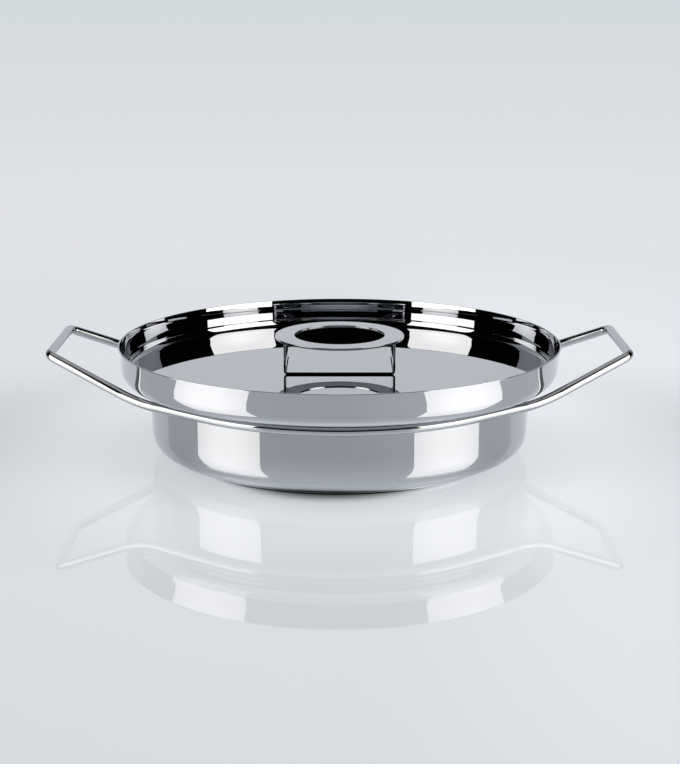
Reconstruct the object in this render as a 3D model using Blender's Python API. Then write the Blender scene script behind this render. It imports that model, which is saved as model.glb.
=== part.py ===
"""Low two-handled pan of polished steel with a wide dish-shaped lid.

Metres, +Z up. The origin is the middle of the face that stands on the table. The two grips
point along +X and -X. One round rod runs round the pan under its rim, leaves the wall on each
side and rises to form both grips. The lid is a flat dish, wider than the pan, with a flat ring
held above it on a strap bent like a U.
"""

import math

import bmesh
import bpy
from mathutils import Vector

# Clearance between pieces that touch
GAP = 0.0003

# Pan shell: one drawn sheet
PAN_R = 0.1206
PAN_WALL = 0.0008
PAN_HEIGHT = 0.0477
PAN_CORNER_R = 0.014

# Sandwich base: a core disc in a pressed cap, under the shell's flat bottom
CAP_SHEET = 0.0005
CAP_INSET = 0.0016
CORE_THICK = 0.0022

# Lid dish: one pressed sheet that lies on the pan's rim
LID_SHEET = 0.0009
LID_OVERHANG = 0.0194
LID_WALL_LEAN = 0.0010
LID_DEPTH = 0.0174
LID_CORNER_R = 0.0050
GROOVE_DEPTH = 0.0019
GROOVE_SLOPE_WIDTH = 0.0013

# Locating ring under the lid, which drops inside the pan's mouth
LOCATOR_CLEARANCE = 0.0008
LOCATOR_SHEET = 0.0010
LOCATOR_HEIGHT = 0.0060

# Rod round the pan, with a grip on each side
ROD_R = 0.0030
ROD_LID_CLEARANCE = 0.0023
ROD_HUG_ANGLE = math.radians(38.4)
ROD_LEAVE_RUN = 0.0565
ROD_LEAVE_BEND_R = 0.060
GRIP_REACH = 0.0574
GRIP_RISE = 0.0246
GRIP_LENGTH = 0.0784
GRIP_BEND_R = 0.0070

# Knob: a flat ring on a bent strap
RING_R = 0.04095
RING_WIDTH = 0.01225
RING_THICK = 0.0015
STRAP_WIDTH = 0.0420
STRAP_SHEET = 0.0015
STRAP_BEND_R = 0.0025
STRAP_INSET = 0.00015
KNOB_HEIGHT = 0.0211

# Facets of the turned pieces, of a rounded corner and of the rod
TURN_STEPS = 96
CORNER_STEPS = 6
ROD_ARC_STEPS = 11
ROD_SIDE_STEPS = 4

# Points closer than this are one point, and edges sharper than this stay sharp
MERGE_DISTANCE = 1e-6
SHARP_ANGLE = math.radians(30.0)

# Levels and radii that follow from the sizes above
pan_bottom_z = CAP_SHEET + GAP + CORE_THICK + GAP
pan_rim_z = pan_bottom_z + PAN_HEIGHT
pan_inner_r = PAN_R - PAN_WALL
cap_r = PAN_R - PAN_CORNER_R - CAP_INSET
lid_under_z = pan_rim_z + GAP
lid_floor_z = lid_under_z + LID_SHEET
lid_rim_z = lid_floor_z + LID_DEPTH
lid_r = PAN_R + LID_OVERHANG
lid_lowest_z = lid_under_z - GROOVE_DEPTH
rod_z = lid_lowest_z - ROD_LID_CLEARANCE - ROD_R
rod_arc_r = PAN_R + GAP + ROD_R
ring_top_z = lid_floor_z + KNOB_HEIGHT


def steel(name, shade, roughness):
    material = bpy.data.materials.new(name)
    material.use_nodes = True
    shader = material.node_tree.nodes["Principled BSDF"]
    shader.inputs["Base Color"].default_value = (*shade, 1.0)
    shader.inputs["Metallic"].default_value = 1.0
    shader.inputs["Roughness"].default_value = roughness
    material.diffuse_color = (*shade, 1.0)
    return material


def add_object(name, data, material):
    thing = bpy.data.objects.new(name, data)
    data.materials.append(material)
    bpy.context.scene.collection.objects.link(thing)
    return thing


def arc(centre, radius, start_deg, end_deg, steps=CORNER_STEPS):
    """Points of an arc in the (radius, height) plane, both ends included."""
    points = []
    for step in range(steps + 1):
        angle = math.radians(start_deg + (end_deg - start_deg) * step / steps)
        points.append((centre[0] + radius * math.cos(angle), centre[1] + radius * math.sin(angle)))
    return points


def turned(name, outline, material, closed):
    """Spin an outline of (radius, height) points about Z into one closed body."""
    bm = bmesh.new()
    verts = [bm.verts.new((radius, 0.0, height)) for radius, height in outline]
    edges = [bm.edges.new(pair) for pair in zip(verts, verts[1:])]
    if closed:
        edges.append(bm.edges.new((verts[-1], verts[0])))
    bmesh.ops.spin(
        bm,
        geom=verts + edges,
        cent=(0.0, 0.0, 0.0),
        axis=(0.0, 0.0, 1.0),
        angle=2.0 * math.pi,
        steps=TURN_STEPS,
        use_merge=True,
    )
    bmesh.ops.remove_doubles(bm, verts=bm.verts, dist=MERGE_DISTANCE)
    bmesh.ops.recalc_face_normals(bm, faces=bm.faces)
    mesh = bpy.data.meshes.new(name)
    bm.to_mesh(mesh)
    bm.free()
    mesh.shade_smooth()
    mesh.set_sharp_from_angle(angle=SHARP_ANGLE)
    return add_object(name, mesh, material)


def extruded(name, outline, width, material):
    """A closed outline of (x, z) points, extruded along Y to both sides of the middle."""
    bm = bmesh.new()
    face = bm.faces.new([bm.verts.new((x, -width / 2.0, z)) for x, z in outline])
    grown = bmesh.ops.extrude_face_region(bm, geom=[face])
    moved = [item for item in grown["geom"] if isinstance(item, bmesh.types.BMVert)]
    bmesh.ops.translate(bm, verts=moved, vec=(0.0, width, 0.0))
    bmesh.ops.recalc_face_normals(bm, faces=bm.faces)
    mesh = bpy.data.meshes.new(name)
    bm.to_mesh(mesh)
    bm.free()
    mesh.shade_smooth()
    mesh.set_sharp_from_angle(angle=SHARP_ANGLE)
    return add_object(name, mesh, material)


def make_pan_shell(material):
    """Drawn cup: flat bottom, round corner, upright wall, open top."""
    corner = (PAN_R - PAN_CORNER_R, pan_bottom_z + PAN_CORNER_R)
    inner_corner_r = PAN_CORNER_R - PAN_WALL
    outline = [(0.0, pan_bottom_z + PAN_WALL)]
    outline += arc(corner, inner_corner_r, -90.0, 0.0)
    outline += [(pan_inner_r, pan_rim_z), (PAN_R, pan_rim_z)]
    outline += arc(corner, PAN_CORNER_R, 0.0, -90.0)
    outline += [(0.0, pan_bottom_z)]
    return turned("pan_body", outline, material, closed=False)


def make_core_disc(material):
    """Heat-spreading disc, shut in between the shell's bottom and the cap."""
    radius = cap_r - CAP_SHEET - GAP
    low = CAP_SHEET + GAP
    outline = [(0.0, low + CORE_THICK), (radius, low + CORE_THICK), (radius, low), (0.0, low)]
    return turned("core_disc", outline, material, closed=False)


def make_base_cap(material):
    """Shallow pressed cup that holds the core and stands on the table."""
    rim_z = pan_bottom_z - GAP
    inner_r = cap_r - CAP_SHEET
    outline = [
        (0.0, CAP_SHEET),
        (inner_r, CAP_SHEET),
        (inner_r, rim_z),
        (cap_r, rim_z),
        (cap_r, CAP_SHEET),
        (cap_r - CAP_SHEET, 0.0),
        (0.0, 0.0),
    ]
    return turned("base_cap", outline, material, closed=False)


def make_lid_dish(material):
    """Flat floor, shallow groove round it, round corner and a wall that leans out to the rim."""
    wall_foot_r = lid_r - LID_WALL_LEAN
    corner = (wall_foot_r - LID_CORNER_R, lid_lowest_z + LID_CORNER_R)
    inner_corner_r = LID_CORNER_R - LID_SHEET
    groove_r = corner[0] - LID_SHEET / 2.0
    floor_edge_r = groove_r - GROOVE_SLOPE_WIDTH
    outline = [(0.0, lid_floor_z), (floor_edge_r, lid_floor_z)]
    outline += [(groove_r, lid_floor_z - GROOVE_DEPTH)]
    outline += arc(corner, inner_corner_r, -90.0, 0.0)
    outline += [(lid_r - LID_SHEET, lid_rim_z), (lid_r, lid_rim_z)]
    outline += arc(corner, LID_CORNER_R, 0.0, -90.0)
    outline += [(groove_r - LID_SHEET / 2.0, lid_lowest_z)]
    outline += [(floor_edge_r - LID_SHEET / 2.0, lid_under_z), (0.0, lid_under_z)]
    return turned("lid_dish", outline, material, closed=False)


def make_locating_ring(material):
    """Thin upright ring under the lid that keeps it centred in the pan's mouth."""
    outer_r = pan_inner_r - LOCATOR_CLEARANCE
    inner_r = outer_r - LOCATOR_SHEET
    top = lid_under_z - GAP
    low = top - LOCATOR_HEIGHT
    outline = [(inner_r, top), (outer_r, top), (outer_r, low), (inner_r, low)]
    return turned("lid_locating_ring", outline, material, closed=True)


def make_knob_ring(material):
    """Flat ring plate that the hand takes hold of."""
    inner_r = RING_R - RING_WIDTH
    low = ring_top_z - RING_THICK
    outline = [(inner_r, ring_top_z), (RING_R, ring_top_z), (RING_R, low), (inner_r, low)]
    return turned("knob_ring", outline, material, closed=True)


def make_knob_strap(material):
    """Strap bent like a U: its base lies on the lid and its two legs carry the ring."""
    half_span = math.sqrt(RING_R**2 - (STRAP_WIDTH / 2.0) ** 2) - STRAP_INSET
    low = lid_floor_z + GAP
    top = ring_top_z - RING_THICK - GAP
    right = (half_span - STRAP_BEND_R, low + STRAP_BEND_R)
    left = (-right[0], right[1])
    inner_bend_r = STRAP_BEND_R - STRAP_SHEET
    outline = [(-half_span, top)]
    outline += arc(left, STRAP_BEND_R, 180.0, 270.0)
    outline += arc(right, STRAP_BEND_R, 270.0, 360.0)
    outline += [(half_span, top), (half_span - STRAP_SHEET, top)]
    outline += arc(right, inner_bend_r, 360.0, 270.0)
    outline += arc(left, inner_bend_r, 270.0, 180.0)
    outline += [(-half_span + STRAP_SHEET, top)]
    return extruded("knob_strap", outline, STRAP_WIDTH, material)


def rounded_corner(before, corner, after, radius, steps=CORNER_STEPS):
    """Points of the arc that rounds a corner between two straight runs."""
    back = (before - corner).normalized()
    onward = (after - corner).normalized()
    half = back.angle(onward) / 2.0
    centre = corner + (back + onward).normalized() * (radius / math.sin(half))
    start = corner + back * (radius / math.tan(half)) - centre
    end = corner + onward * (radius / math.tan(half)) - centre
    sweep = start.angle(end)
    points = []
    for step in range(steps + 1):
        share = step / steps
        first = math.sin((1.0 - share) * sweep) / math.sin(sweep)
        last = math.sin(share * sweep) / math.sin(sweep)
        points.append(centre + start * first + end * last)
    return points


def rod_quarter():
    """The rod's line from the front of the pan to the middle of the right grip."""
    points = []
    for step in range(ROD_ARC_STEPS + 1):
        angle = ROD_HUG_ANGLE * step / ROD_ARC_STEPS
        points.append(Vector((rod_arc_r * math.sin(angle), -rod_arc_r * math.cos(angle), rod_z)))
    leaving = points[-1]
    tangent = Vector((math.cos(ROD_HUG_ANGLE), math.sin(ROD_HUG_ANGLE), 0.0))
    bend = leaving + tangent * ROD_LEAVE_RUN
    grip_x = PAN_R + GRIP_REACH
    grip_z = rod_z + GRIP_RISE
    grip_corner = Vector((grip_x, -GRIP_LENGTH / 2.0, grip_z))
    grip_middle = Vector((grip_x, 0.0, grip_z))
    points += rounded_corner(leaving, bend, grip_corner, ROD_LEAVE_BEND_R)
    points += rounded_corner(bend, grip_corner, grip_middle, GRIP_BEND_R)
    points.append(grip_middle)
    return points


def make_handle_rod(material):
    """One closed rod: both arcs against the pan and both grips."""
    quarter = rod_quarter()
    right_half = quarter + [Vector((p.x, -p.y, p.z)) for p in reversed(quarter[:-1])]
    left_half = [Vector((-p.x, p.y, p.z)) for p in reversed(right_half[1:-1])]
    line = right_half + left_half
    curve = bpy.data.curves.new("handle_rod", "CURVE")
    curve.dimensions = "3D"
    curve.twist_mode = "Z_UP"
    curve.bevel_depth = ROD_R
    curve.bevel_resolution = ROD_SIDE_STEPS
    spline = curve.splines.new("POLY")
    spline.points.add(len(line) - 1)
    for place, point in zip(spline.points, line):
        place.co = (*point, 1.0)
    spline.use_cyclic_u = True
    spline.use_smooth = True
    return add_object("handle_rod", curve, material)


def build():
    for thing in list(bpy.data.objects):
        bpy.data.objects.remove(thing, do_unlink=True)
    body_steel = steel("body_steel", (0.74, 0.75, 0.78), 0.06)
    base_steel = steel("base_steel", (0.62, 0.63, 0.65), 0.25)
    core_metal = steel("core_aluminium", (0.80, 0.81, 0.82), 0.40)
    rod_steel = steel("rod_steel", (0.74, 0.75, 0.78), 0.06)
    lid_steel = steel("lid_steel", (0.76, 0.77, 0.80), 0.04)
    knob_steel = steel("knob_steel", (0.78, 0.79, 0.81), 0.12)
    make_pan_shell(body_steel)
    make_core_disc(core_metal)
    make_base_cap(base_steel)
    make_handle_rod(rod_steel)
    make_lid_dish(lid_steel)
    make_locating_ring(lid_steel)
    make_knob_strap(knob_steel)
    make_knob_ring(knob_steel)


build()
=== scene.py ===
"""Looks for a low two-handled pan of polished steel with a wide dish-shaped lid.

Metres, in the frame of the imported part: +Z up, the grips along X, the front at -Y, and the
origin in the middle of the face that the pan stands on. The sheet pieces are turned from outlines
of (radius, height) points, the rod is swept along its line, and the knob's strap is a bent sheet.
Polished steel shows only what stands round it, so the studio is part of the finish: a white
acrylic table, a pale backdrop and a softbox on each side, in a room that is dark but for a dim
ceiling.
"""

import math

import bmesh
import bpy
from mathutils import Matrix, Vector


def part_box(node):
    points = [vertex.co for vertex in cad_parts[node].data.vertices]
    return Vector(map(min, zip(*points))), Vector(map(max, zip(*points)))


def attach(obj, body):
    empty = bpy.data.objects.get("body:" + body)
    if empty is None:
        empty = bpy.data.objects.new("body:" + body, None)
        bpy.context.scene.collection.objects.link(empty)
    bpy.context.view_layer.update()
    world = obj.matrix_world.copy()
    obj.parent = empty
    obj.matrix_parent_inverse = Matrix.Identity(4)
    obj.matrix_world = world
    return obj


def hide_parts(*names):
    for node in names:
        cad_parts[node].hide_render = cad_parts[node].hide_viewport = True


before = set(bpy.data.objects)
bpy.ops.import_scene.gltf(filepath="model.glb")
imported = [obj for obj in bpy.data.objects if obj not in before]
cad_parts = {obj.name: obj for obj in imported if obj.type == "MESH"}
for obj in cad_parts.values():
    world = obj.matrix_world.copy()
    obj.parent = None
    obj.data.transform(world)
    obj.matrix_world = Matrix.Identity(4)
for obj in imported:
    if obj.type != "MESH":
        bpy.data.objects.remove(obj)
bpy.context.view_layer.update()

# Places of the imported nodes
pan_low, pan_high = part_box("pan_body")
cap_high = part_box("base_cap")[1]
rod_low, rod_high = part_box("handle_rod")
lid_low, lid_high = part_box("lid_dish")
locator_low, locator_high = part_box("lid_locating_ring")
strap_low, strap_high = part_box("knob_strap")
ring_low, ring_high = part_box("knob_ring")

# Rounding that a cut and polished sheet edge gets
SHEET_EDGE_R = 0.0003

# Pan shell, drawn from one sheet; its corner is fuller than a part of an ellipse
PAN_SHEET = 0.0008
PAN_CORNER_REACH = 0.0140
PAN_CORNER_RISE = 0.0165
PAN_CORNER_FULLNESS = 2.45

# Pressed cap under the pan
CAP_SHEET = 0.0005
CAP_CORNER_R = 0.0012

# Lid dish
LID_SHEET = 0.0009
LID_WALL_TILT = math.radians(3.0)
LID_RIM_TILT = math.radians(8.9)
LID_FLARE_HEIGHT = 0.0081
LID_CORNER_REACH = 0.0050
LID_CORNER_RISE = 0.0085
LID_INNER_CORNER_REACH = 0.0031
LID_INNER_CORNER_RISE = 0.0068
GROOVE_DEPTH = 0.0019
GROOVE_WIDTH = 0.0024

# Ring under the lid, bent from a strip
LOCATOR_SHEET = 0.0010

# Knob
RING_WIDTH = 0.01225
STRAP_SHEET = 0.0015
STRAP_BEND_R = 0.0025
STRAP_EDGE_R = 0.00012
STRAP_SINK = 0.00012

# Rod
ROD_R = 0.0030
ROD_HUG_ANGLE = math.radians(38.4)
ROD_LEAVE_RUN = 0.0565
ROD_LEAVE_BEND_R = 0.060
GRIP_LENGTH = 0.0784
GRIP_BEND_R = 0.0070

# Fineness of the visible meshes
TURN_STEPS = 320
CORNER_STEPS = 20
EDGE_STEPS = 5
LEAN_STEPS = 60
WALL_STEPS = 40
ROD_SIDES = 40
ROD_HUG_STEPS = 30
STRAP_EDGE_STEPS = 2
SUPPORT_MARGIN = 0.00012
LONG_RUN = 6.0 * SUPPORT_MARGIN
MERGE_DISTANCE = 1e-6
SHARP_ANGLE = math.radians(30.0)

# Photograph's camera
VIEW_DISTANCE = 1.0243
VIEW_TARGET = Vector((0.0003, 0.0, 0.04215))
VIEW_ELEVATION = math.radians(13.9)
VIEW_LENS_MM = 75.3

# 18/10 steel as the eye sees it, a cool grey; the lid's copy of it is painted a little lighter, as
# painted light, since the lid looks a little brighter than the pan
STEEL_COLOUR = "#b0b3b7"
LID_STEEL_COLOUR = "#b9bcc1"
SATIN_STEEL_COLOUR = "#b8babe"
# Ring's underside: a pale colour painted on as painted light, so that it doesn't go dark
RING_UNDERSIDE_PAINTED_LIGHT_COLOUR = "#eceef0"
ALUMINIUM_COLOUR = "#cdcfd1"

# Haze that each finish leaves, as a roughness
PAN_HAZE = 0.03
LID_HAZE = 0.012
COOKING_SATIN = (0.2, 0.3)
BASE_SATIN = 0.3
STRAP_HAZE = 0.05
RING_TOP_SATIN = (0.10, 0.16)
RING_UNDER_SATIN = (0.35, 0.42)
ROD_HAZE = (0.01, 0.03)
ROLLED_SATIN = (0.32, 0.48)
UNDER_LID_SHARE = 0.6

# Shares of a roughness between which clouds and lines vary it
HAZE_SPREAD = (0.6, 1.5)
SATIN_SPREAD = (0.75, 1.25)
SATIN_CLOUD_SPREAD = (0.85, 1.15)

# Sizes of the finish: clouds 18 and 9 mm, waves 14 mm, brushed lines 0.4 mm, grain 1.2 mm, and
# mill lines 20 mm long; the reliefs are a few thousandths of a millimetre and less
POLISH_CLOUD = 0.018
ROD_CLOUD = 0.009
SHEET_WAVE = 0.014
SHEET_WAVE_HEIGHT = 0.0000012
BRUSH_PITCH = 0.0004
BRUSH_HEIGHT = 0.0000022
RING_BRUSH_HEIGHT = BRUSH_HEIGHT / 6.0
STRAP_BRUSH_HEIGHT = BRUSH_HEIGHT / 12.0
ROD_GRAIN = 0.0012
ROD_GRAIN_HEIGHT = BRUSH_HEIGHT / 8.0
MILL_LINE_LENGTH = 0.02

# Where a finish changes inside the sheet, as shares of its thickness
RIM_SHARE = 0.6
FLOOR_SHARE = 0.5
UNDER_SHARES = (0.3, 0.7)

# Part of a noise's values that counts, since few lie outside
NOISE_SPAN = (0.3, 0.7)

# How many finer layers a noise has
WAVE_DETAIL = 1.0
CLOUD_DETAIL = 2.0
LINE_DETAIL = 3.0
FINE_DETAIL = 4.0

# Table: levels where 1.0 is white, each with the span in metres over which it changes; the glow is
# painted light, stronger near the pan, behind it, in front of it and to its right
TABLE_COLOUR = "#8c8e91"
TABLE_GLOW_COLOUR = "#f5f9ff"
TABLE_SHINE = 0.125
TABLE_SHINE_MIRRORED = 0.39
TABLE_POLISH_MIRRORED = 0.02
TABLE_GLOW = 0.345
TABLE_GLOW_AT_PAN = 0.14
AT_PAN_SPAN = (0.15, 0.27)
TABLE_GLOW_BEHIND = 0.18
BEHIND_SPAN = (0.0, 0.25)
TABLE_GLOW_IN_FRONT = 0.12
IN_FRONT_SPAN = (-0.25, 0.0)
TABLE_GLOW_RIGHT = 0.066
RIGHT_SPAN = (0.0, 0.14)
TABLE_GLOW_MIRRORED = 0.465
TABLE_GLOW_MIRRORED_AT_PAN = 0.26
MIRRORED_AT_PAN_SPAN = (0.12, 0.22)
FRONT_ONLY_SPAN = (-0.115, -0.06)
TABLE_REACH = 40.0
TABLE_STEPS = 96
TABLE_HOLE_INSET = 1.5 * CAP_CORNER_R

# Painted shadow at the pan's foot: its shift, its narrowing along X, and its soft edge
SHADOW_SHIFT = (-0.004, 0.0, 0.0)
SHADOW_STRETCH = (0.76, 1.0, 1.0)
SHADOW_SPAN = (0.0985, 0.1235)
SHADOW_MIRRORED_SPAN = (0.110, 0.119)

# Where the table runs over into the room, and its colours from there to its far end
FAR_SPAN = (0.42, 0.85)
FAR_MIRRORED_SPAN = (0.85, 1.5)
FAR_COLOUR_SPAN = (1.0, 21.0)
FAR_COLOURS = ((0.0026, "#dfe1e4"), (0.0182, "#dadee1"), (0.156, "#d6dbdf"))
FAR_START_COLOUR = "#e1e3e6"

# Softboxes, upright cards that stand on the lines from one floor point to another
SOFTBOX_LINES = (
    ("softbox_left", (-0.556, -0.576), (-0.799, -0.049)),
    ("softbox_right", (0.525, -0.604), (0.796, -0.077)),
)
SOFTBOX_LOW = 0.004
SOFTBOX_HIGH = 0.585
SOFTBOX_COLOUR = "#fff8f0"
SOFTBOX_LEVEL = 3.5
SOFTBOX_EDGE_SHARE = 0.75
SOFTBOX_HEART = 0.2
CARD_CORNER_R = 0.06
CARD_CORNER_STEPS = 8
CARD_FADE_SPAN = (0.2, 1.25)

# Backdrop, a bright card behind the pan with a dimmer one on each side
BACKDROP_Y = 1.25
BACKDROP_HALF = 0.78
BACKDROP_END = 2.0
BACKDROP_LOW = -0.6
BACKDROP_HIGH = 1.35
BACKDROP_COLOUR = "#f7faff"
BACKDROP_LEVEL = 0.81
BACKDROP_EDGE_SHARE = 0.6
BACKDROP_SIDE_LEVEL = 0.44
BACKDROP_SIDE_EDGE_SHARE = 0.85

# Room: dark but for the ceiling, which leans to the back, and the floor below the table
ROOM_COLOUR = "#d3dade"
# Near black: the room's dark, and the colour of the painted shadow under the pan
DARK_ROOM_AND_PAINTED_SHADOW = "#020202"
DARK_LEVEL = 0.002
CEILING_LEVEL = 0.75
CEILING_LEAN = 0.14
CEILING_SPAN = (0.78, 0.98)
BELOW_LEVEL = 0.5
BELOW_SPAN = (-0.3, -0.02)
LAMP_WATTS = 7.0
LAMP_SIZE = 1.8
LAMP_HEIGHT = 1.4


def linear(hex_colour):
    """Turn an sRGB colour such as "#c8ccd2" into the linear numbers that Blender takes."""
    channels = [int(hex_colour[start:start + 2], 16) / 255.0 for start in (1, 3, 5)]
    bent = [c / 12.92 if c <= 0.04045 else ((c + 0.055) / 1.055) ** 2.4 for c in channels]
    return (*bent, 1.0)


def add_node(tree, kind, settings=None, inputs=None):
    """Add a node, set its properties, and give its inputs a value or a link each."""
    node = tree.nodes.new(kind)
    for name, value in (settings or {}).items():
        setattr(node, name, value)
    for name, value in (inputs or {}).items():
        if isinstance(value, bpy.types.NodeSocket):
            tree.links.new(value, node.inputs[name])
        else:
            node.inputs[name].default_value = value
    return node


def new_material(name):
    """A material with an empty node tree and its output node."""
    material = bpy.data.materials.new(name)
    material.use_nodes = True
    tree = material.node_tree
    tree.nodes.clear()
    return material, tree, add_node(tree, "ShaderNodeOutputMaterial")


# Materials

def object_place(tree):
    """Coordinates that lie still on the piece, in metres."""
    return add_node(tree, "ShaderNodeTexCoord").outputs["Object"]


def levelled(tree, value, given, wanted):
    """Carry a value over from one range to another, held inside both."""
    inputs = {"Value": value}
    inputs.update({"From Min": given[0], "From Max": given[1]})
    inputs.update({"To Min": wanted[0], "To Max": wanted[1]})
    soft = {"interpolation_type": "SMOOTHSTEP"}
    return add_node(tree, "ShaderNodeMapRange", soft, inputs).outputs["Result"]


def cloudy(tree, place, size, wanted, detail=CLOUD_DETAIL):
    """A value that drifts between two levels in clouds of the given size."""
    inputs = {"Vector": place, "Scale": 1.0 / size, "Detail": detail}
    clouds = add_node(tree, "ShaderNodeTexNoise", None, inputs)
    return levelled(tree, clouds.outputs["Fac"], NOISE_SPAN, wanted)


def turned_lines(tree, place, pitch):
    """Fine lines round the Z axis, as an abrasive leaves them on a sheet that spins."""
    parts = add_node(tree, "ShaderNodeSeparateXYZ", None, {"Vector": place})
    flat = add_node(
        tree, "ShaderNodeVectorMath", {"operation": "MULTIPLY"}, {0: place, 1: (1.0, 1.0, 0.0)}
    )
    round_it = add_node(
        tree, "ShaderNodeVectorMath", {"operation": "NORMALIZE"}, {0: flat.outputs["Vector"]}
    )
    reach = add_node(
        tree, "ShaderNodeVectorMath", {"operation": "LENGTH"}, {0: flat.outputs["Vector"]}
    )
    along = add_node(
        tree,
        "ShaderNodeMath",
        {"operation": "ADD"},
        {0: reach.outputs["Value"], 1: parts.outputs["Z"]},
    )
    across = add_node(
        tree, "ShaderNodeMath", {"operation": "DIVIDE"}, {0: along.outputs[0], 1: pitch}
    )
    lines = add_node(
        tree,
        "ShaderNodeTexNoise",
        {"noise_dimensions": "4D"},
        {
            "Vector": round_it.outputs["Vector"],
            "W": across.outputs[0],
            "Scale": 1.0,
            "Detail": LINE_DETAIL,
        },
    )
    return lines.outputs["Fac"]


def bumped(tree, height, depth, normal=None):
    """Surface direction over a height from 0 to 1 that stands for a depth in metres."""
    inputs = {"Height": height, "Distance": depth, "Strength": 1.0}
    if normal is not None:
        inputs["Normal"] = normal
    return add_node(tree, "ShaderNodeBump", None, inputs).outputs["Normal"]


def steel_skin(tree, output, colour, roughness, normal):
    """The metal itself, with its roughness and its fine relief."""
    inputs = {"Base Color": colour, "Metallic": 1.0, "Roughness": roughness, "Normal": normal}
    shader = add_node(tree, "ShaderNodeBsdfPrincipled", None, inputs)
    tree.links.new(shader.outputs["BSDF"], output.inputs["Surface"])


def make_mirror_sheet(name, colour, haze, satin_share):
    """Drawn 18/10 sheet, buffed to a mirror on the side that shows, and satin where it cooks.

    The eye gets clean reflections with a breath of haze in clouds from the buffing wheel, a hint
    of wave that drawing leaves in thin sheet, and fine turned lines on the satin side.
    """
    material, tree, output = new_material(name)
    place = object_place(tree)
    satin = satin_share(tree, place)
    buffed = cloudy(tree, place, POLISH_CLOUD, [haze * share for share in HAZE_SPREAD])
    lines = turned_lines(tree, place, BRUSH_PITCH)
    brushed = levelled(tree, lines, NOISE_SPAN, COOKING_SATIN)
    roughness = add_node(
        tree, "ShaderNodeMix", {"data_type": "FLOAT"}, {0: satin, 2: buffed, 3: brushed}
    )
    depth = add_node(
        tree, "ShaderNodeMath", {"operation": "MULTIPLY"}, {0: lines, 1: satin}
    )
    wave = cloudy(tree, place, SHEET_WAVE, (0.0, 1.0), WAVE_DETAIL)
    normal = bumped(tree, wave, SHEET_WAVE_HEIGHT)
    normal = bumped(tree, depth.outputs[0], BRUSH_HEIGHT, normal)
    steel_skin(tree, output, linear(colour), roughness.outputs[0], normal)
    return material


def inside_the_pan(tree, place):
    """1 on the pan's inner wall and floor, 0 outside, with a soft change over the rim."""
    flat = add_node(
        tree, "ShaderNodeVectorMath", {"operation": "MULTIPLY"}, {0: place, 1: (1.0, 1.0, 0.0)}
    )
    reach = add_node(
        tree, "ShaderNodeVectorMath", {"operation": "LENGTH"}, {0: flat.outputs["Vector"]}
    )
    parts = add_node(tree, "ShaderNodeSeparateXYZ", None, {"Vector": place})
    wall = (pan_high.x - PAN_SHEET, pan_high.x - RIM_SHARE * PAN_SHEET)
    within = levelled(tree, reach.outputs["Value"], wall, (1.0, 0.0))
    floor = (pan_low.z + FLOOR_SHARE * PAN_SHEET, pan_low.z + PAN_SHEET)
    above = levelled(tree, parts.outputs["Z"], floor, (0.0, 1.0))
    both = add_node(tree, "ShaderNodeMath", {"operation": "MULTIPLY"}, {0: within, 1: above})
    return both.outputs[0]


def under_the_lid(tree, place):
    """A light satin on the flat face under the lid, 0 on its floor, wall and lip."""
    parts = add_node(tree, "ShaderNodeSeparateXYZ", None, {"Vector": place})
    under_z = lid_low.z + GROOVE_DEPTH
    below = (under_z + LID_SHEET * UNDER_SHARES[0], under_z + LID_SHEET * UNDER_SHARES[1])
    return levelled(tree, parts.outputs["Z"], below, (UNDER_LID_SHARE, 0.0))


def make_turned_satin(name, colour, rough, depth):
    """Sheet that was ground and brushed while it spun: fine turned lines and a soft sheen."""
    material, tree, output = new_material(name)
    place = object_place(tree)
    lines = turned_lines(tree, place, BRUSH_PITCH)
    streaks = levelled(tree, lines, NOISE_SPAN, [rough * share for share in SATIN_SPREAD])
    clouds = cloudy(tree, place, POLISH_CLOUD, SATIN_CLOUD_SPREAD)
    roughness = add_node(
        tree, "ShaderNodeMath", {"operation": "MULTIPLY"}, {0: streaks, 1: clouds}
    )
    normal = bumped(tree, lines, depth)
    steel_skin(tree, output, linear(colour), roughness.outputs[0], normal)
    return material


def make_ring_steel(name):
    """Ring plate, finely brushed round on top, and left a satin underneath whose pale colour is
    painted light.

    The eye gets an even grey on top that hardly mirrors, and below a soft glow that is painted
    light.
    """
    material, tree, output = new_material(name)
    place = object_place(tree)
    lines = turned_lines(tree, place, BRUSH_PITCH)
    fine = levelled(tree, lines, NOISE_SPAN, RING_TOP_SATIN)
    satin = levelled(tree, lines, NOISE_SPAN, RING_UNDER_SATIN)
    parts = add_node(tree, "ShaderNodeSeparateXYZ", None, {"Vector": place})
    edge = (ring_low.z + SHEET_EDGE_R * UNDER_SHARES[0], ring_low.z + SHEET_EDGE_R)
    below = levelled(tree, parts.outputs["Z"], edge, (1.0, 0.0))
    roughness = add_node(
        tree, "ShaderNodeMix", {"data_type": "FLOAT"}, {0: below, 2: fine, 3: satin}
    )
    # Painted light: the underside takes a pale colour so that it doesn't go dark
    colour = add_node(
        tree,
        "ShaderNodeMix",
        {"data_type": "RGBA"},
        {0: below, 6: linear(LID_STEEL_COLOUR), 7: linear(RING_UNDERSIDE_PAINTED_LIGHT_COLOUR)},
    )
    normal = bumped(tree, lines, RING_BRUSH_HEIGHT)
    steel_skin(tree, output, colour.outputs[2], roughness.outputs[0], normal)
    return material


def make_polished_rod_steel(name):
    """Drawn round rod, bent and then buffed: a mirror with a trace of grain and clouds of haze."""
    material, tree, output = new_material(name)
    place = object_place(tree)
    roughness = cloudy(tree, place, ROD_CLOUD, ROD_HAZE, FINE_DETAIL)
    grain = cloudy(tree, place, ROD_GRAIN, (0.0, 1.0))
    normal = bumped(tree, grain, ROD_GRAIN_HEIGHT)
    steel_skin(tree, output, linear(STEEL_COLOUR), roughness, normal)
    return material


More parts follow.
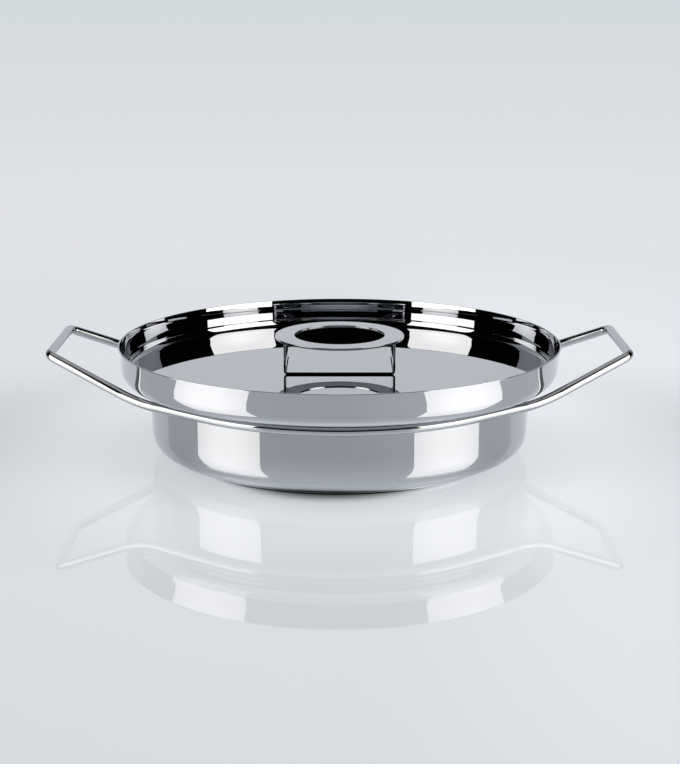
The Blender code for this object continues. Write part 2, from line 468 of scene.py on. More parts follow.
def make_rolled_aluminium(name):
    """Soft aluminium disc cut from rolled sheet: straight mill lines, and a paler grey."""
    material, tree, output = new_material(name)
    place = object_place(tree)
    across = 1.0 / BRUSH_PITCH
    mill = add_node(
        tree,
        "ShaderNodeMapping",
        None,
        {"Vector": place, "Scale": (1.0 / MILL_LINE_LENGTH, across, across)},
    )
    lines = add_node(
        tree,
        "ShaderNodeTexNoise",
        None,
        {"Vector": mill.outputs["Vector"], "Scale": 1.0, "Detail": LINE_DETAIL},
    )
    roughness = levelled(tree, lines.outputs["Fac"], NOISE_SPAN, ROLLED_SATIN)
    normal = bumped(tree, lines.outputs["Fac"], BRUSH_HEIGHT)
    steel_skin(tree, output, linear(ALUMINIUM_COLOUR), roughness, normal)
    return material


# Mesh helpers

def arc(centre, reach, rise, start_deg, end_deg, steps=CORNER_STEPS, fullness=2.0):
    """Points of an arc in the (radius, height) plane, both ends included; 2.0 is an ellipse."""
    points = []
    for step in range(steps + 1):
        angle = math.radians(start_deg + (end_deg - start_deg) * step / steps)
        across = math.copysign(abs(math.cos(angle)) ** (2.0 / fullness), math.cos(angle))
        up = math.copysign(abs(math.sin(angle)) ** (2.0 / fullness), math.sin(angle))
        points.append((centre[0] + reach * across, centre[1] + rise * up))
    return points


def edge_arc(centre, start_deg, end_deg):
    """Points of a rounded sheet edge."""
    return arc(centre, SHEET_EDGE_R, SHEET_EDGE_R, start_deg, end_deg, EDGE_STEPS)


def with_support(outline):
    """Add a point close to both ends of each long run, so that its shading stays flat."""
    kept = [Vector(outline[0])]
    for start, end in zip(outline, outline[1:]):
        run = Vector(end) - Vector(start)
        if run.length > LONG_RUN:
            kept.append(Vector(start) + run.normalized() * SUPPORT_MARGIN)
            kept.append(Vector(end) - run.normalized() * SUPPORT_MARGIN)
        kept.append(Vector(end))
    return kept


def make_turning_tree():
    """Geometry Nodes tree that turns an outline in the XZ plane about Z."""
    tree = bpy.data.node_groups.new("turned_about_z", "GeometryNodeTree")
    sockets = tree.interface
    sockets.new_socket("Geometry", in_out="INPUT", socket_type="NodeSocketGeometry")
    sockets.new_socket("Steps round", in_out="INPUT", socket_type="NodeSocketInt")
    sockets.new_socket("Merge distance", in_out="INPUT", socket_type="NodeSocketFloat")
    sockets.new_socket("Finish", in_out="INPUT", socket_type="NodeSocketMaterial")
    sockets.new_socket("Geometry", in_out="OUTPUT", socket_type="NodeSocketGeometry")
    given = add_node(tree, "NodeGroupInput")
    outline = given.outputs["Geometry"]
    steps = given.outputs["Steps round"]
    size = add_node(
        tree, "GeometryNodeAttributeDomainSize", {"component": "MESH"}, {"Geometry": outline}
    )
    count = size.outputs["Point Count"]
    rows = add_node(tree, "ShaderNodeMath", {"operation": "ADD"}, {0: steps, 1: 1.0})
    grid = add_node(
        tree, "GeometryNodeMeshGrid", None, {"Vertices X": rows.outputs[0], "Vertices Y": count}
    )
    index = add_node(tree, "GeometryNodeInputIndex").outputs[0]
    share = add_node(tree, "ShaderNodeMath", {"operation": "DIVIDE"}, {0: index, 1: count})
    row = add_node(tree, "ShaderNodeMath", {"operation": "FLOOR"}, {0: share.outputs[0]})
    place = add_node(tree, "ShaderNodeMath", {"operation": "MODULO"}, {0: index, 1: count})
    position = add_node(tree, "GeometryNodeInputPosition").outputs[0]
    point = add_node(
        tree,
        "GeometryNodeSampleIndex",
        {"data_type": "FLOAT_VECTOR"},
        {"Geometry": outline, "Value": position, "Index": place.outputs[0]},
    )
    turn = add_node(
        tree, "ShaderNodeMath", {"operation": "DIVIDE"}, {0: row.outputs[0], 1: steps}
    )
    angle = add_node(
        tree, "ShaderNodeMath", {"operation": "MULTIPLY"}, {0: turn.outputs[0], 1: math.tau}
    )
    turned = add_node(
        tree,
        "ShaderNodeVectorRotate",
        {"rotation_type": "Z_AXIS"},
        {"Vector": point.outputs[0], "Angle": angle.outputs[0]},
    )
    moved = add_node(
        tree,
        "GeometryNodeSetPosition",
        None,
        {"Geometry": grid.outputs["Mesh"], "Position": turned.outputs[0]},
    )
    merged = add_node(
        tree,
        "GeometryNodeMergeByDistance",
        None,
        {"Geometry": moved.outputs[0], "Distance": given.outputs["Merge distance"]},
    )
    finish_tree(tree, merged.outputs[0], given.outputs["Finish"])
    return tree


def make_sweep_tree():
    """Geometry Nodes tree that sweeps a round section along a line."""
    tree = bpy.data.node_groups.new("round_rod_along_a_line", "GeometryNodeTree")
    sockets = tree.interface
    sockets.new_socket("Geometry", in_out="INPUT", socket_type="NodeSocketGeometry")
    sockets.new_socket("Radius", in_out="INPUT", socket_type="NodeSocketFloat")
    sockets.new_socket("Sides", in_out="INPUT", socket_type="NodeSocketInt")
    sockets.new_socket("Finish", in_out="INPUT", socket_type="NodeSocketMaterial")
    sockets.new_socket("Geometry", in_out="OUTPUT", socket_type="NodeSocketGeometry")
    given = add_node(tree, "NodeGroupInput")
    section = add_node(
        tree,
        "GeometryNodeCurvePrimitiveCircle",
        None,
        {"Resolution": given.outputs["Sides"], "Radius": given.outputs["Radius"]},
    )
    line = add_node(
        tree, "GeometryNodeMeshToCurve", None, {"Mesh": given.outputs["Geometry"]}
    )
    level = add_node(
        tree, "GeometryNodeSetCurveNormal", {"mode": "Z_UP"}, {"Curve": line.outputs[0]}
    )
    swept = add_node(
        tree,
        "GeometryNodeCurveToMesh",
        None,
        {"Curve": level.outputs[0], "Profile Curve": section.outputs[0]},
    )
    finish_tree(tree, swept.outputs[0], given.outputs["Finish"])
    return tree


def finish_tree(tree, geometry, finish):
    """End a tree: smooth shading, real geometry, and the material."""
    smooth = add_node(tree, "GeometryNodeSetShadeSmooth", None, {"Geometry": geometry})
    real = add_node(
        tree, "GeometryNodeRealizeInstances", None, {"Geometry": smooth.outputs[0]}
    )
    coated = add_node(
        tree,
        "GeometryNodeSetMaterial",
        None,
        {"Geometry": real.outputs[0], "Material": finish},
    )
    add_node(tree, "NodeGroupOutput", None, {"Geometry": coated.outputs[0]})


def grown(name, line, tree, values, closed=False):
    """Run a tree on a line of points, and keep the result as a plain mesh object."""
    bm = bmesh.new()
    verts = [bm.verts.new(point) for point in line]
    for pair in zip(verts, verts[1:]):
        bm.edges.new(pair)
    if closed:
        bm.edges.new((verts[-1], verts[0]))
    seed = bpy.data.meshes.new(name + "_line")
    bm.to_mesh(seed)
    bm.free()
    carrier = bpy.data.objects.new(name + "_line", seed)
    bpy.context.scene.collection.objects.link(carrier)
    modifier = carrier.modifiers.new("shape", "NODES")
    modifier.node_group = tree
    for socket in tree.interface.items_tree:
        if socket.in_out == "INPUT" and socket.name in values:
            modifier[socket.identifier] = values[socket.name]
    bpy.context.view_layer.update()
    shaped = carrier.evaluated_get(bpy.context.evaluated_depsgraph_get())
    mesh = bpy.data.meshes.new_from_object(shaped)
    bpy.data.objects.remove(carrier)
    return add_object(name, mesh)


def add_object(name, mesh):
    """Link a mesh into the scene as an object of the same name."""
    mesh.name = name
    thing = bpy.data.objects.new(name, mesh)
    bpy.context.scene.collection.objects.link(thing)
    return thing


def turned(name, outline, material):
    """A turned piece from an outline that runs anticlockwise, seen with +radius to the right."""
    line = [(radius, 0.0, height) for radius, height in with_support(outline)]
    values = {"Steps round": TURN_STEPS, "Merge distance": MERGE_DISTANCE, "Finish": material}
    return grown(name, line, turning_tree, values)


def place_piece(piece, body, node):
    """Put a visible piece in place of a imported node."""
    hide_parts(node)
    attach(piece, body)


# Pan

def make_pan_shell(material):
    """Drawn cup with a flat bottom, a round corner, an upright wall and an open mouth."""
    outer = pan_high.x
    low = pan_low.z
    rim = pan_high.z
    corner = (outer - PAN_CORNER_REACH, low + PAN_CORNER_RISE)
    outline = [(0.0, low)]
    full = PAN_CORNER_FULLNESS
    steps = 2 * CORNER_STEPS
    outline += arc(corner, PAN_CORNER_REACH, PAN_CORNER_RISE, -90.0, 0.0, steps, full)
    outline += edge_arc((outer - SHEET_EDGE_R, rim - SHEET_EDGE_R), 0.0, 90.0)
    outline += edge_arc((outer - PAN_SHEET + SHEET_EDGE_R, rim - SHEET_EDGE_R), 90.0, 180.0)
    reach = PAN_CORNER_REACH - PAN_SHEET
    rise = PAN_CORNER_RISE - PAN_SHEET
    outline += arc(corner, reach, rise, 0.0, -90.0, steps, full)
    outline += [(0.0, low + PAN_SHEET)]
    return turned("pan_shell", outline, material)


def make_base_cap(material):
    """Shallow pressed cup under the pan, on which it stands."""
    outer = cap_high.x
    rim = cap_high.z
    corner = (outer - CAP_CORNER_R, CAP_CORNER_R)
    outline = [(0.0, 0.0)]
    outline += arc(corner, CAP_CORNER_R, CAP_CORNER_R, -90.0, 0.0)
    outline += [(outer, rim), (outer - CAP_SHEET, rim)]
    inner_r = CAP_CORNER_R - CAP_SHEET
    outline += arc(corner, inner_r, inner_r, 0.0, -90.0)
    outline += [(0.0, CAP_SHEET)]
    return turned("pressed_base", outline, material)


def rounded_corner(before, corner, after, radius, steps):
    """Points of the arc that rounds a corner between two straight runs."""
    back = (before - corner).normalized()
    onward = (after - corner).normalized()
    half = back.angle(onward) / 2.0
    centre = corner + (back + onward).normalized() * (radius / math.sin(half))
    start = corner + back * (radius / math.tan(half)) - centre
    end = corner + onward * (radius / math.tan(half)) - centre
    sweep = start.angle(end)
    points = []
    for step in range(steps + 1):
        share = step / steps
        first = math.sin((1.0 - share) * sweep) / math.sin(sweep)
        last = math.sin(share * sweep) / math.sin(sweep)
        points.append(centre + start * first + end * last)
    return points


def rod_line():
    """The rod's closed line, quarter by quarter, from the front of the pan round to it again."""
    hug_r = rod_high.y - ROD_R
    level = rod_low.z + ROD_R
    quarter = []
    for step in range(ROD_HUG_STEPS + 1):
        angle = ROD_HUG_ANGLE * step / ROD_HUG_STEPS
        quarter.append(Vector((hug_r * math.sin(angle), -hug_r * math.cos(angle), level)))
    leaving = quarter[-1]
    outward = Vector((math.cos(ROD_HUG_ANGLE), math.sin(ROD_HUG_ANGLE), 0.0))
    bend = leaving + outward * ROD_LEAVE_RUN
    grip_corner = Vector((rod_high.x - ROD_R, -GRIP_LENGTH / 2.0, rod_high.z - ROD_R))
    grip_middle = Vector((grip_corner.x, 0.0, grip_corner.z))
    quarter += rounded_corner(leaving, bend, grip_corner, ROD_LEAVE_BEND_R, CORNER_STEPS)
    quarter += rounded_corner(bend, grip_corner, grip_middle, GRIP_BEND_R, CORNER_STEPS)
    quarter.append(grip_middle)
    right_half = quarter + [Vector((p.x, -p.y, p.z)) for p in reversed(quarter[:-1])]
    left_half = [Vector((-p.x, p.y, p.z)) for p in reversed(right_half[1:-1])]
    return right_half + left_half


def make_rod(material):
    """One round rod, bent into both grips and welded to the pan in front and behind."""
    values = {"Radius": ROD_R, "Sides": ROD_SIDES, "Finish": material}
    return grown("bent_rod", rod_line(), sweep_tree, values, closed=True)


# Lid

def lid_lean(depth):
    """How far the lid's wall has come in at a depth below the rim, towards which it flares."""
    lean = 0.0
    for step in range(LEAN_STEPS):
        flare = max(0.0, 1.0 - depth * (step + 0.5) / LEAN_STEPS / LID_FLARE_HEIGHT)
        tilt = LID_WALL_TILT + (LID_RIM_TILT - LID_WALL_TILT) * flare
        lean += math.tan(tilt) * depth / LEAN_STEPS
    return lean


def lid_wall(rim_r, rim_z, foot_z):
    """Points of one face of the wall, from its foot up to the rim."""
    points = []
    for step in range(WALL_STEPS + 1):
        depth = (rim_z - foot_z) * (1.0 - step / WALL_STEPS)
        points.append((rim_r - lid_lean(depth), rim_z - depth))
    return points


def make_lid_dish(material):
    """Flat floor, a groove round it, a round corner, and a wall that leans out to its lip."""
    rim_r = lid_high.x
    rim_z = lid_high.z
    under_z = lid_low.z + GROOVE_DEPTH
    floor_z = under_z + LID_SHEET
    outer_wall = lid_wall(rim_r, rim_z - SHEET_EDGE_R, lid_low.z + LID_CORNER_RISE)
    inner_foot_z = lid_low.z + LID_SHEET + LID_INNER_CORNER_RISE
    inner_wall = lid_wall(rim_r - LID_SHEET, rim_z - SHEET_EDGE_R, inner_foot_z)
    outer_corner = (outer_wall[0][0] - LID_CORNER_REACH, outer_wall[0][1])
    inner_corner = (inner_wall[0][0] - LID_INNER_CORNER_REACH, inner_wall[0][1])
    groove_share = []
    for step in range(CORNER_STEPS + 1):
        share = step / CORNER_STEPS
        groove_share.append((share, (1.0 - math.cos(math.pi * share)) / 2.0))
    outline = [(0.0, under_z)]
    for share, drop in groove_share:
        radius = outer_corner[0] - GROOVE_WIDTH * (1.0 - share)
        outline.append((radius, under_z - GROOVE_DEPTH * drop))
    outline += arc(outer_corner, LID_CORNER_REACH, LID_CORNER_RISE, -90.0, 0.0)[1:]
    outline += outer_wall[1:-1]
    outline += edge_arc((rim_r - SHEET_EDGE_R, rim_z - SHEET_EDGE_R), 0.0, 90.0)
    outline += edge_arc((rim_r - LID_SHEET + SHEET_EDGE_R, rim_z - SHEET_EDGE_R), 90.0, 180.0)
    outline += list(reversed(inner_wall))[1:-1]
    outline += arc(inner_corner, LID_INNER_CORNER_REACH, LID_INNER_CORNER_RISE, 0.0, -90.0)
    for share, drop in reversed(groove_share[:-1]):
        radius = inner_corner[0] - GROOVE_WIDTH * (1.0 - share)
        outline.append((radius, floor_z - GROOVE_DEPTH * drop))
    outline += [(0.0, floor_z)]
    return turned("lid_dish_sheet", outline, material)


def make_locating_ring(material):
    """Upright ring under the lid that drops inside the pan's mouth."""
    outer = locator_high.x
    inner = outer - LOCATOR_SHEET
    low = locator_low.z
    top = locator_high.z
    outline = [(inner, top)]
    outline += edge_arc((inner + SHEET_EDGE_R, low + SHEET_EDGE_R), 180.0, 270.0)
    outline += edge_arc((outer - SHEET_EDGE_R, low + SHEET_EDGE_R), 270.0, 360.0)
    outline += [(outer, top), (inner, top)]
    return turned("locating_ring", outline, material)


def make_knob_ring(material):
    """Flat ring plate with rounded edges."""
    outer = ring_high.x
    inner = outer - RING_WIDTH
    low = ring_low.z
    top = ring_high.z
    r = SHEET_EDGE_R
    outline = edge_arc((inner + r, low + r), 180.0, 270.0)
    outline += edge_arc((outer - r, low + r), 270.0, 360.0)
    outline += edge_arc((outer - r, top - r), 0.0, 90.0)
    outline += edge_arc((inner + r, top - r), 90.0, 180.0)
    outline.append(outline[0])
    return turned("ring_plate", outline, material)


def make_knob_strap(material):
    """Strap bent like a U: its base lies on the lid's floor, and its legs meet the ring."""
    half_span = strap_high.x
    low = lid_low.z + GROOVE_DEPTH + LID_SHEET - STRAP_SINK
    top = ring_low.z + STRAP_EDGE_R
    right = (half_span - STRAP_BEND_R, low + STRAP_BEND_R)
    left = (-right[0], right[1])
    inner_bend_r = STRAP_BEND_R - STRAP_SHEET
    outline = [(-half_span, top)]
    outline += arc(left, STRAP_BEND_R, STRAP_BEND_R, 180.0, 270.0)
    outline += arc(right, STRAP_BEND_R, STRAP_BEND_R, 270.0, 360.0)
    outline += [(half_span, top), (half_span - STRAP_SHEET, top)]
    outline += arc(right, inner_bend_r, inner_bend_r, 360.0, 270.0)
    outline += arc(left, inner_bend_r, inner_bend_r, 270.0, 180.0)
    outline += [(-half_span + STRAP_SHEET, top), (-half_span, top)]
    bm = bmesh.new()
    flat = with_support(outline)[:-1]
    face = bm.faces.new([bm.verts.new((x, strap_low.y, z)) for x, z in flat])
    far_side = bmesh.ops.extrude_face_region(bm, geom=[face])
    moved = [item for item in far_side["geom"] if isinstance(item, bmesh.types.BMVert)]
    bmesh.ops.translate(bm, verts=moved, vec=(0.0, strap_high.y - strap_low.y, 0.0))
    bmesh.ops.recalc_face_normals(bm, faces=bm.faces)
    mesh = bpy.data.meshes.new("bent_strap")
    bm.to_mesh(mesh)
    bm.free()
    mesh.materials.append(material)
    mesh.shade_smooth()
    mesh.set_sharp_from_angle(angle=SHARP_ANGLE)
    return rounded("bent_strap", mesh, STRAP_EDGE_R)


def rounded(name, mesh, radius):
    """Round the sharp edges of a mesh a little, and keep its flat faces flat."""
    carrier = add_object(name + "_raw", mesh)
    bevel = carrier.modifiers.new("rounding", "BEVEL")
    bevel.width = radius
    bevel.segments = STRAP_EDGE_STEPS
    bevel.limit_method = "ANGLE"
    bevel.angle_limit = SHARP_ANGLE
    bevel.harden_normals = True
    bpy.context.view_layer.update()
    shaped = carrier.evaluated_get(bpy.context.evaluated_depsgraph_get())
    finished = bpy.data.meshes.new_from_object(shaped)
    bpy.data.objects.remove(carrier)
    return add_object(name, finished)


# Studio

def out_of_painted_shadow(tree, place, seen):
    """Painted shadow at the pan's foot: 0 on the table under the pan and 1 away from it, with a
    firmer edge where steel shows it.
    """
    shadow = add_node(
        tree,
        "ShaderNodeMapping",
        {"vector_type": "TEXTURE"},
        {"Vector": place, "Location": SHADOW_SHIFT, "Scale": SHADOW_STRETCH},
    )
    reach = add_node(
        tree, "ShaderNodeVectorMath", {"operation": "LENGTH"}, {0: shadow.outputs["Vector"]}
    )
    soft = levelled(tree, reach.outputs["Value"], SHADOW_SPAN, (0.0, 1.0))
    firm = levelled(tree, reach.outputs["Value"], SHADOW_MIRRORED_SPAN, (0.0, 1.0))
    return add_node(
        tree, "ShaderNodeMix", {"data_type": "FLOAT"}, {0: seen, 2: firm, 3: soft}
    ).outputs[0]


def table_light(tree, place, reach, seen):
    """How much painted light the sheet gives out, for the camera and for the steel: a glow that is
    stronger near the pan, behind it, in front of it and to its right.
    """
    parts = add_node(tree, "ShaderNodeSeparateXYZ", None, {"Vector": place})
    at_pan = TABLE_GLOW + TABLE_GLOW_AT_PAN
    lit_seen = levelled(tree, reach, AT_PAN_SPAN, (at_pan, TABLE_GLOW))
    behind = levelled(tree, parts.outputs["Y"], BEHIND_SPAN, (0.0, TABLE_GLOW_BEHIND))
    in_front = levelled(tree, parts.outputs["Y"], IN_FRONT_SPAN, (TABLE_GLOW_IN_FRONT, 0.0))
    for more in (behind, in_front):
        lit_seen = add_node(
            tree, "ShaderNodeMath", {"operation": "ADD"}, {0: lit_seen, 1: more}
        ).outputs[0]
    near = levelled(tree, reach, MIRRORED_AT_PAN_SPAN, (TABLE_GLOW_MIRRORED_AT_PAN, 0.0))
    front_only = levelled(tree, parts.outputs["Y"], FRONT_ONLY_SPAN, (1.0, 0.0))
    lit_mirrored = add_node(
        tree,
        "ShaderNodeMath",
        {"operation": "MULTIPLY_ADD"},
        {0: near, 1: front_only, 2: TABLE_GLOW_MIRRORED},
    )
    lit = add_node(
        tree,
        "ShaderNodeMix",
        {"data_type": "FLOAT"},
        {0: seen, 2: lit_mirrored.outputs[0], 3: lit_seen},
    )
    to_the_right = levelled(tree, parts.outputs["X"], RIGHT_SPAN, (0.0, TABLE_GLOW_RIGHT))
    return add_node(
        tree, "ShaderNodeMath", {"operation": "ADD"}, {0: lit.outputs[0], 1: to_the_right}
    ).outputs[0]


def table_skin(tree, place, reach, path):
    """The sheet near the pan: a body that glows with painted light and carries a painted shadow
    under the pan, and a glossy skin over it.
    """
    seen = path.outputs["Is Camera Ray"]
    clear = out_of_painted_shadow(tree, place, seen)
    shown = add_node(
        tree,
        "ShaderNodeMath",
        {"operation": "MAXIMUM"},
        {0: seen, 1: path.outputs["Is Glossy Ray"]},
    )
    glow = table_light(tree, place, reach, seen)
    # The glow goes out under the pan, as painted shadow
    for mask in (clear, shown.outputs[0]):
        glow = add_node(
            tree, "ShaderNodeMath", {"operation": "MULTIPLY"}, {0: glow, 1: mask}
        ).outputs[0]
    # Painted shadow: the table's own colour goes dark under the pan
    body = add_node(
        tree,
        "ShaderNodeMix",
        {"data_type": "RGBA"},
        {0: clear, 6: linear(DARK_ROOM_AND_PAINTED_SHADOW), 7: linear(TABLE_COLOUR)},
    )
    # Painted light: the emission makes the table glow, more in some places than others
    body_with_painted_glow = add_node(
        tree,
        "ShaderNodeBsdfPrincipled",
        None,
        {
            "Base Color": body.outputs[2],
            "Specular IOR Level": 0.0,
            "Emission Color": linear(TABLE_GLOW_COLOUR),
            "Emission Strength": glow,
        },
    )
    strength = add_node(
        tree,
        "ShaderNodeMix",
        {"data_type": "FLOAT"},
        {0: seen, 2: TABLE_SHINE_MIRRORED, 3: TABLE_SHINE},
    )
    # The shine goes out under the pan too, as painted shadow
    clear_strength = add_node(
        tree, "ShaderNodeMath", {"operation": "MULTIPLY"}, {0: strength.outputs[0], 1: clear}
    )
    polish = add_node(
        tree,
        "ShaderNodeMix",
        {"data_type": "FLOAT"},
        {0: seen, 2: TABLE_POLISH_MIRRORED, 3: 0.0},
    )
    shine = add_node(
        tree,
        "ShaderNodeBsdfAnisotropic",
        None,
        {"Color": clear_strength.outputs[0], "Roughness": polish.outputs[0]},
    )
    return add_node(
        tree, "ShaderNodeAddShader", None, {0: body_with_painted_glow.outputs["BSDF"], 1: shine.outputs[0]}
    ).outputs[0]


def table_far_off(tree, reach, seen):
    """The table far from the pan: the colour of the room to the camera, and dark to the steel."""
    share = levelled(tree, reach, FAR_COLOUR_SPAN, (0.0, 1.0))
    colours = add_node(tree, "ShaderNodeValToRGB", None, {"Fac": share})
    stops = colours.color_ramp.elements
    stops[0].color = linear(FAR_START_COLOUR)
    stops[1].color = linear(ROOM_COLOUR)
    for place, colour in FAR_COLOURS:
        stops.new(place).color = linear(colour)
    pale = add_node(tree, "ShaderNodeEmission", None, {"Color": colours.outputs["Color"]})
    night = add_node(tree, "ShaderNodeEmission", None, {"Color": linear(DARK_ROOM_AND_PAINTED_SHADOW)})
    return add_node(
        tree, "ShaderNodeMixShader", None, {0: seen, 1: night.outputs[0], 2: pale.outputs[0]}
    ).outputs[0]


def make_table():
    """White acrylic sheet with a body that glows with painted light, and a glossy skin that
    mirrors the pan.

    Its painted glow is stronger near the pan, so the table hardly darkens beside the pan, and a
    painted shadow lies right under it. Far from the pan its colour runs over into that of the
    room, and no edge shows. It is open under the pan's base, and clear from below, so the base can
    be looked at from underneath.
    """
    material, tree, output = new_material("white_acrylic_table")
    path = add_node(tree, "ShaderNodeLightPath")
    seen = path.outputs["Is Camera Ray"]
    place = object_place(tree)
    reach = add_node(
        tree, "ShaderNodeVectorMath", {"operation": "LENGTH"}, {0: place}
    ).outputs["Value"]
    near = table_skin(tree, place, reach, path)
    far = table_far_off(tree, reach, seen)
    seen_far = levelled(tree, reach, FAR_SPAN, (0.0, 1.0))
    mirrored_far = levelled(tree, reach, FAR_MIRRORED_SPAN, (0.0, 1.0))
    far_share = add_node(
        tree, "ShaderNodeMix", {"data_type": "FLOAT"}, {0: seen, 2: mirrored_far, 3: seen_far}
    )
    top = add_node(
        tree, "ShaderNodeMixShader", None, {0: far_share.outputs[0], 1: near, 2: far}
    )
    clear = add_node(tree, "ShaderNodeBsdfTransparent")
    side = add_node(tree, "ShaderNodeNewGeometry")
    one_sided = add_node(
        tree,
        "ShaderNodeMixShader",
        None,
        {0: side.outputs["Backfacing"], 1: top.outputs[0], 2: clear.outputs[0]},
    )
    tree.links.new(one_sided.outputs[0], output.inputs["Surface"])
    hole_r = cap_high.x - TABLE_HOLE_INSET
    corners = []
    faces = []
    for step in range(TABLE_STEPS):
        turn = math.tau * step / TABLE_STEPS
        for r in (hole_r, TABLE_REACH):
            corners.append((r * math.cos(turn), r * math.sin(turn), 0.0))
        here = 2 * step
        following = 2 * ((step + 1) % TABLE_STEPS)
        faces.append((here, here + 1, following + 1, following))
    mesh = bpy.data.meshes.new("table")
    mesh.from_pydata(corners, [], faces)
    mesh.materials.append(material)
    add_object("table", mesh)


def card_outline(width, height):
    """Outline of an upright card with round corners, its middle at the origin."""
    r = CARD_CORNER_R
    points = []
    for side, (x, z) in enumerate(((1, -1), (1, 1), (-1, 1), (-1, -1))):
        centre = (x * (width / 2.0 - r), z * (height / 2.0 - r))
        start = -90.0 + 90.0 * side
        points += arc(centre, r, r, start, start + 90.0, CARD_CORNER_STEPS)
    return [(x, 0.0, z) for x, z in points]


def make_card(name, line, heights, colour, levels, heart=0.5, in_table=True):
    """A glowing upright panel over a line on the floor, which only reflections show.

    Its level falls from the first to the second of two levels, away from a heart that lies at a
    share of its height. With in_table off, the table's own mirror image doesn't show it.
    """
    start, end = Vector(line[0]), Vector(line[1])
    low, high = heights
    run = end - start
    middle = (start + end) / 2.0
    height = high - low
    material, tree, output = new_material(name)
    from_heart = add_node(
        tree,
        "ShaderNodeVectorMath",
        {"operation": "SUBTRACT"},
        {0: object_place(tree), 1: (0.0, 0.0, height * (heart - 0.5))},
    )
    spread = add_node(
        tree,
        "ShaderNodeVectorMath",
        {"operation": "DIVIDE"},
        {0: from_heart.outputs["Vector"], 1: (run.length / 2.0, 1.0, height / 2.0)},
    )
    reach = add_node(
        tree, "ShaderNodeVectorMath", {"operation": "LENGTH"}, {0: spread.outputs["Vector"]}
    )
    level = levelled(tree, reach.outputs["Value"], CARD_FADE_SPAN, levels)
    if not in_table:
        path = add_node(tree, "ShaderNodeLightPath")
        off_the_table = add_node(
            tree,
            "ShaderNodeMath",
            {"operation": "SUBTRACT"},
            {0: 1.0, 1: path.outputs["Is Singular Ray"]},
        )
        level = add_node(
            tree,
            "ShaderNodeMath",
            {"operation": "MULTIPLY"},
            {0: level, 1: off_the_table.outputs[0]},
        ).outputs[0]
    glow = add_node(
        tree, "ShaderNodeEmission", None, {"Color": linear(colour), "Strength": level}
    )
    tree.links.new(glow.outputs["Emission"], output.inputs["Surface"])
    mesh = bpy.data.meshes.new(name)
    corners = card_outline(run.length, height)
    mesh.from_pydata(corners, [], [tuple(range(len(corners)))])
    mesh.materials.append(material)
    card = add_object(name, mesh)
    card.location = (middle.x, middle.y, (low + high) / 2.0)
    card.rotation_euler = (0.0, 0.0, math.atan2(run.y, run.x))
    card.visible_camera = False


def light_room():
    """A room that the camera sees as pale, and that is dark to the steel but above and below."""
    world = bpy.data.worlds.new("studio_room")
    bpy.context.scene.world = world
    world.use_nodes = True
    tree = world.node_tree
    tree.nodes.clear()
    output = add_node(tree, "ShaderNodeOutputWorld")
    path = add_node(tree, "ShaderNodeLightPath")
    pale = add_node(tree, "ShaderNodeBackground", None, {"Color": linear(ROOM_COLOUR)})
    way = add_node(tree, "ShaderNodeTexCoord").outputs["Generated"]
    parts = add_node(tree, "ShaderNodeSeparateXYZ", None, {"Vector": way})
    height = add_node(
        tree,
        "ShaderNodeVectorMath",
        {"operation": "DOT_PRODUCT"},
        {0: way, 1: (0.0, CEILING_LEAN, 1.0)},
    )
    above = levelled(
        tree, height.outputs["Value"], CEILING_SPAN, (DARK_LEVEL, CEILING_LEVEL)
    )
    below = levelled(tree, parts.outputs["Z"], BELOW_SPAN, (BELOW_LEVEL, 0.0))
    level = add_node(tree, "ShaderNodeMath", {"operation": "ADD"}, {0: above, 1: below})
    dark = add_node(tree, "ShaderNodeBackground", None, {"Strength": level.outputs[0]})
    mixed = add_node(
        tree,
        "ShaderNodeMixShader",
        None,
        {0: path.outputs["Is Camera Ray"], 1: dark.outputs[0], 2: pale.outputs[0]},
    )
    tree.links.new(mixed.outputs[0], output.inputs["Surface"])


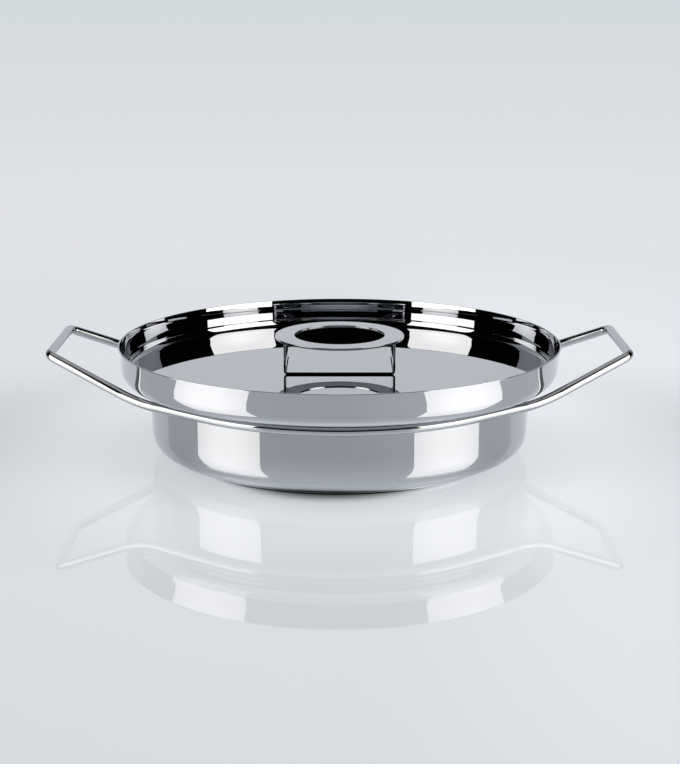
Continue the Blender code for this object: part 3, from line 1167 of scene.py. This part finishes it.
def light_studio():
    """A softbox on each side, a backdrop behind, and one broad lamp overhead."""
    heights = (SOFTBOX_LOW, SOFTBOX_HIGH)
    levels = (SOFTBOX_LEVEL, SOFTBOX_LEVEL * SOFTBOX_EDGE_SHARE)
    for name, start, end in SOFTBOX_LINES:
        make_card(
            name, (start, end), heights, SOFTBOX_COLOUR, levels, SOFTBOX_HEART, in_table=False
        )
    heights = (BACKDROP_LOW, BACKDROP_HIGH)
    line = ((-BACKDROP_HALF, BACKDROP_Y), (BACKDROP_HALF, BACKDROP_Y))
    levels = (BACKDROP_LEVEL, BACKDROP_LEVEL * BACKDROP_EDGE_SHARE)
    make_card("backdrop", line, heights, BACKDROP_COLOUR, levels)
    levels = (BACKDROP_SIDE_LEVEL, BACKDROP_SIDE_LEVEL * BACKDROP_SIDE_EDGE_SHARE)
    for side, name in ((-1.0, "backdrop_left"), (1.0, "backdrop_right")):
        line = ((side * BACKDROP_HALF, BACKDROP_Y), (side * BACKDROP_END, BACKDROP_Y))
        make_card(name, line, heights, BACKDROP_COLOUR, levels)
    light_room()
    lamp_data = bpy.data.lights.new("overhead", "AREA")
    lamp_data.shape = "SQUARE"
    lamp_data.size = LAMP_SIZE
    lamp_data.energy = LAMP_WATTS
    lamp = bpy.data.objects.new("overhead", lamp_data)
    lamp.location = (0.0, 0.0, LAMP_HEIGHT)
    lamp.visible_glossy = False
    bpy.context.scene.collection.objects.link(lamp)


def make_camera():
    """The photograph's view: from the front, a little above, with a long lens."""
    data = bpy.data.cameras.new("view")
    data.lens = VIEW_LENS_MM
    camera = bpy.data.objects.new("view", data)
    away = Vector((0.0, -math.cos(VIEW_ELEVATION), math.sin(VIEW_ELEVATION)))
    camera.location = VIEW_TARGET + away * VIEW_DISTANCE
    camera.rotation_euler = (math.pi / 2.0 - VIEW_ELEVATION, 0.0, 0.0)
    bpy.context.scene.collection.objects.link(camera)
    bpy.context.scene.camera = camera


turning_tree = make_turning_tree()
sweep_tree = make_sweep_tree()
body_steel = make_mirror_sheet(
    "mirror_polished_pan_steel", STEEL_COLOUR, PAN_HAZE, inside_the_pan
)
lid_steel = make_mirror_sheet(
    "mirror_polished_lid_steel", LID_STEEL_COLOUR, LID_HAZE, under_the_lid
)
base_steel = make_turned_satin(
    "turned_satin_base_steel", SATIN_STEEL_COLOUR, BASE_SATIN, BRUSH_HEIGHT
)
strap_steel = make_turned_satin(
    "polished_strap_steel", LID_STEEL_COLOUR, STRAP_HAZE, STRAP_BRUSH_HEIGHT
)
ring_steel = make_ring_steel("fine_brushed_ring_steel")
rod_steel = make_polished_rod_steel("polished_rod_steel")
core_aluminium = make_rolled_aluminium("rolled_core_aluminium")

place_piece(make_pan_shell(body_steel), "pan", "pan_body")
place_piece(make_base_cap(base_steel), "pan", "base_cap")
place_piece(make_rod(rod_steel), "pan", "handle_rod")
place_piece(make_lid_dish(lid_steel), "lid", "lid_dish")
place_piece(make_locating_ring(lid_steel), "lid", "lid_locating_ring")
place_piece(make_knob_ring(ring_steel), "lid", "knob_ring")
place_piece(make_knob_strap(strap_steel), "lid", "knob_strap")
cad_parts["core_disc"].data.materials[0] = core_aluminium
make_table()
light_studio()
make_camera()
bpy.context.scene.view_settings.view_transform = "Standard"
